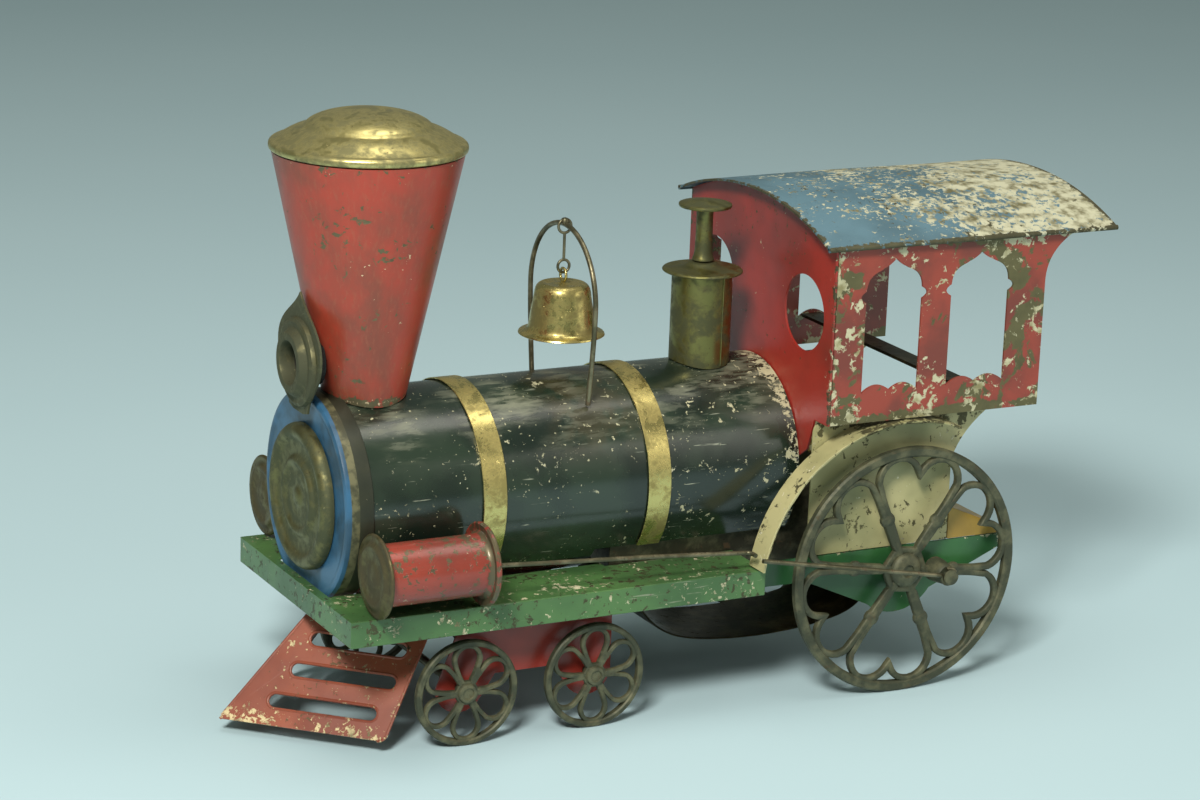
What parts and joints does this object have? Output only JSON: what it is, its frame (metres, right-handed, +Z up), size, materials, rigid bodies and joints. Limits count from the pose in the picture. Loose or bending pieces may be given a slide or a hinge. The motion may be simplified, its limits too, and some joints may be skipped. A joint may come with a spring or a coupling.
{
  "type": "toy locomotive",
  "caption": "Clockwork tin toy locomotive with flared chimney, bell, arched-window cab, cowcatcher, swivelling front truck, spoked driving wheels and gear train.",
  "frame": {"origin": "floor level, below the middle of the overall length and width", "axes": "+X forwards, towards the cowcatcher; +Y towards the left side; +Z up"},
  "size_m": [0.3155, 0.1252, 0.2107],
  "materials": {
    "chimney_red": "aged gloss paint",
    "aged_brass": "tarnished lacquered brass",
    "bright_brass": "worn polished brass",
    "black_paint": "aged gloss paint with chips",
    "blue_paint": "aged gloss paint",
    "roof_blue": "flaking paint",
    "red_paint": "aged gloss paint",
    "dull_red_paint": "flaking paint",
    "green_paint": "aged gloss paint",
    "cream_paint": "aged paint",
    "ochre_paint": "aged paint",
    "cast_iron": "dark patina",
    "steel": "oiled, spotted"
  },
  "bodies": {
    "chassis": {"stack_cone": "chimney_red", "stack_cap": "aged_brass", "headlamp": "aged_brass", "boiler_shell": "black_paint", "boiler_front": "blue_paint", "smokebox_door": "aged_brass", "band_front": "bright_brass", "band_rear": "bright_brass", "bell_hoop": "steel", "dome_body": "aged_brass", "dome_flange": "aged_brass", "whistle": "aged_brass", "cab_front": "red_paint", "cab_side_left": "dull_red_paint", "cab_side_right": "dull_red_paint", "cab_roof": "roof_blue", "cab_cross_strip": "steel", "footplate": "green_paint", "wheel_guard_left": "cream_paint", "wheel_guard_right": "cream_paint", "side_plate_left": "cream_paint", "side_plate_right": "cream_paint", "frame_side_left": "green_paint", "frame_side_right": "green_paint", "frame_rear": "green_paint", "rear_apron": "ochre_paint", "cylinder_left": "red_paint", "cylinder_right": "red_paint", "cylinder_face_left": "aged_brass", "cylinder_face_right": "aged_brass", "truck_pivot": "steel", "cowcatcher": "dull_red_paint", "movement_plate_left": "steel", "movement_plate_right": "steel", "pillar_rear": "steel", "pillar_front": "steel", "mainspring": "steel"},
    "driver": {"driver_axle": "steel", "driver_wheel_left": "cast_iron", "driver_wheel_right": "cast_iron", "axle_gear": "bright_brass"},
    "main_rod_left": {"main_rod_left": "steel"},
    "main_rod_right": {"main_rod_right": "steel"},
    "piston_rod_left": {"piston_rod_left": "steel"},
    "piston_rod_right": {"piston_rod_right": "steel"},
    "third_wheel": {"third_wheel": "bright_brass"},
    "second_wheel": {"second_wheel": "bright_brass"},
    "great_wheel": {"great_wheel": "steel"},
    "winding_arbor": {"winding_arbor": "steel"},
    "click": {"click": "steel"},
    "truck": {"truck_frame": "red_paint"},
    "truck_front_axle": {"truck_axle_front": "steel", "truck_wheel_front_left": "cast_iron", "truck_wheel_front_right": "cast_iron"},
    "truck_rear_axle": {"truck_axle_rear": "steel", "truck_wheel_rear_left": "cast_iron", "truck_wheel_rear_right": "cast_iron"},
    "bell_hook": {"bell_hook": "steel"},
    "bell": {"bell": "bright_brass"}
  },
  "joints": [
    {"name": "driver_spin", "type": "hinge", "parent": "chassis", "child": "driver", "pos_m": [-0.0807, 0, 0.045], "axis": [0, 1, 0], "continuous": true},
    {"name": "third_wheel_spin", "type": "hinge", "parent": "chassis", "child": "third_wheel", "pos_m": [-0.06359, 0, 0.06685], "axis": [0, 1, 0], "continuous": true},
    {"name": "second_wheel_spin", "type": "hinge", "parent": "chassis", "child": "second_wheel", "pos_m": [-0.04038, 0, 0.07545], "axis": [0, 1, 0], "continuous": true},
    {"name": "great_wheel_spin", "type": "hinge", "parent": "chassis", "child": "great_wheel", "pos_m": [-0.0087, 0, 0.06], "axis": [0, 1, 0], "continuous": true},
    {"name": "winding_turn", "type": "hinge", "parent": "great_wheel", "child": "winding_arbor", "pos_m": [-0.0087, 0, 0.06], "axis": [0, 1, 0], "continuous": true},
    {"name": "click_rock", "type": "hinge", "parent": "great_wheel", "child": "click", "pos_m": [-0.018, 0.02, 0.0693], "axis": [0, 1, 0], "range_deg": [-25, 0]},
    {"name": "left_rod_turn", "type": "hinge", "parent": "driver", "child": "main_rod_left", "pos_m": [-0.0942, 0.057, 0.04334], "axis": [0, 1, 0], "continuous": true},
    {"name": "right_rod_turn", "type": "hinge", "parent": "driver", "child": "main_rod_right", "pos_m": [-0.0942, -0.057, 0.04334], "axis": [0, 1, 0], "continuous": true},
    {"name": "left_piston_slide", "type": "slide", "parent": "chassis", "child": "piston_rod_left", "axis": [0.9977, 0, 0.0682], "range_m": [0, 0.027]},
    {"name": "right_piston_slide", "type": "slide", "parent": "chassis", "child": "piston_rod_right", "axis": [0.9977, 0, 0.0682], "range_m": [0, 0.027]},
    {"name": "truck_swivel", "type": "hinge", "parent": "chassis", "child": "truck", "pos_m": [0.0613, 0, 0.0386], "axis": [0, 0, 1], "range_deg": [-3, 3]},
    {"name": "truck_front_spin", "type": "hinge", "parent": "truck", "child": "truck_front_axle", "pos_m": [0.0853, 0, 0.0186], "axis": [0, 1, 0], "continuous": true},
    {"name": "truck_rear_spin", "type": "hinge", "parent": "truck", "child": "truck_rear_axle", "pos_m": [0.0373, 0, 0.0186], "axis": [0, 1, 0], "continuous": true},
    {"name": "bell_hook_swing", "type": "hinge", "parent": "chassis", "child": "bell_hook", "pos_m": [0.0333, 0, 0.1671], "axis": [0, 1, 0], "range_deg": [-35, 35]},
    {"name": "bell_swing", "type": "hinge", "parent": "bell_hook", "child": "bell", "pos_m": [0.0333, 0, 0.151], "axis": [1, 0, 0], "range_deg": [-18, 18]}
  ],
  "couplings": [
    {"joint": "third_wheel_spin", "follows": "driver_spin", "ratio": -0.48},
    {"joint": "second_wheel_spin", "follows": "driver_spin", "ratio": 0.18},
    {"joint": "great_wheel_spin", "follows": "driver_spin", "ratio": -0.055},
    {"joint": "left_rod_turn", "follows": "driver_spin", "ratio": -1},
    {"joint": "right_rod_turn", "follows": "driver_spin", "ratio": -1}
  ]
}
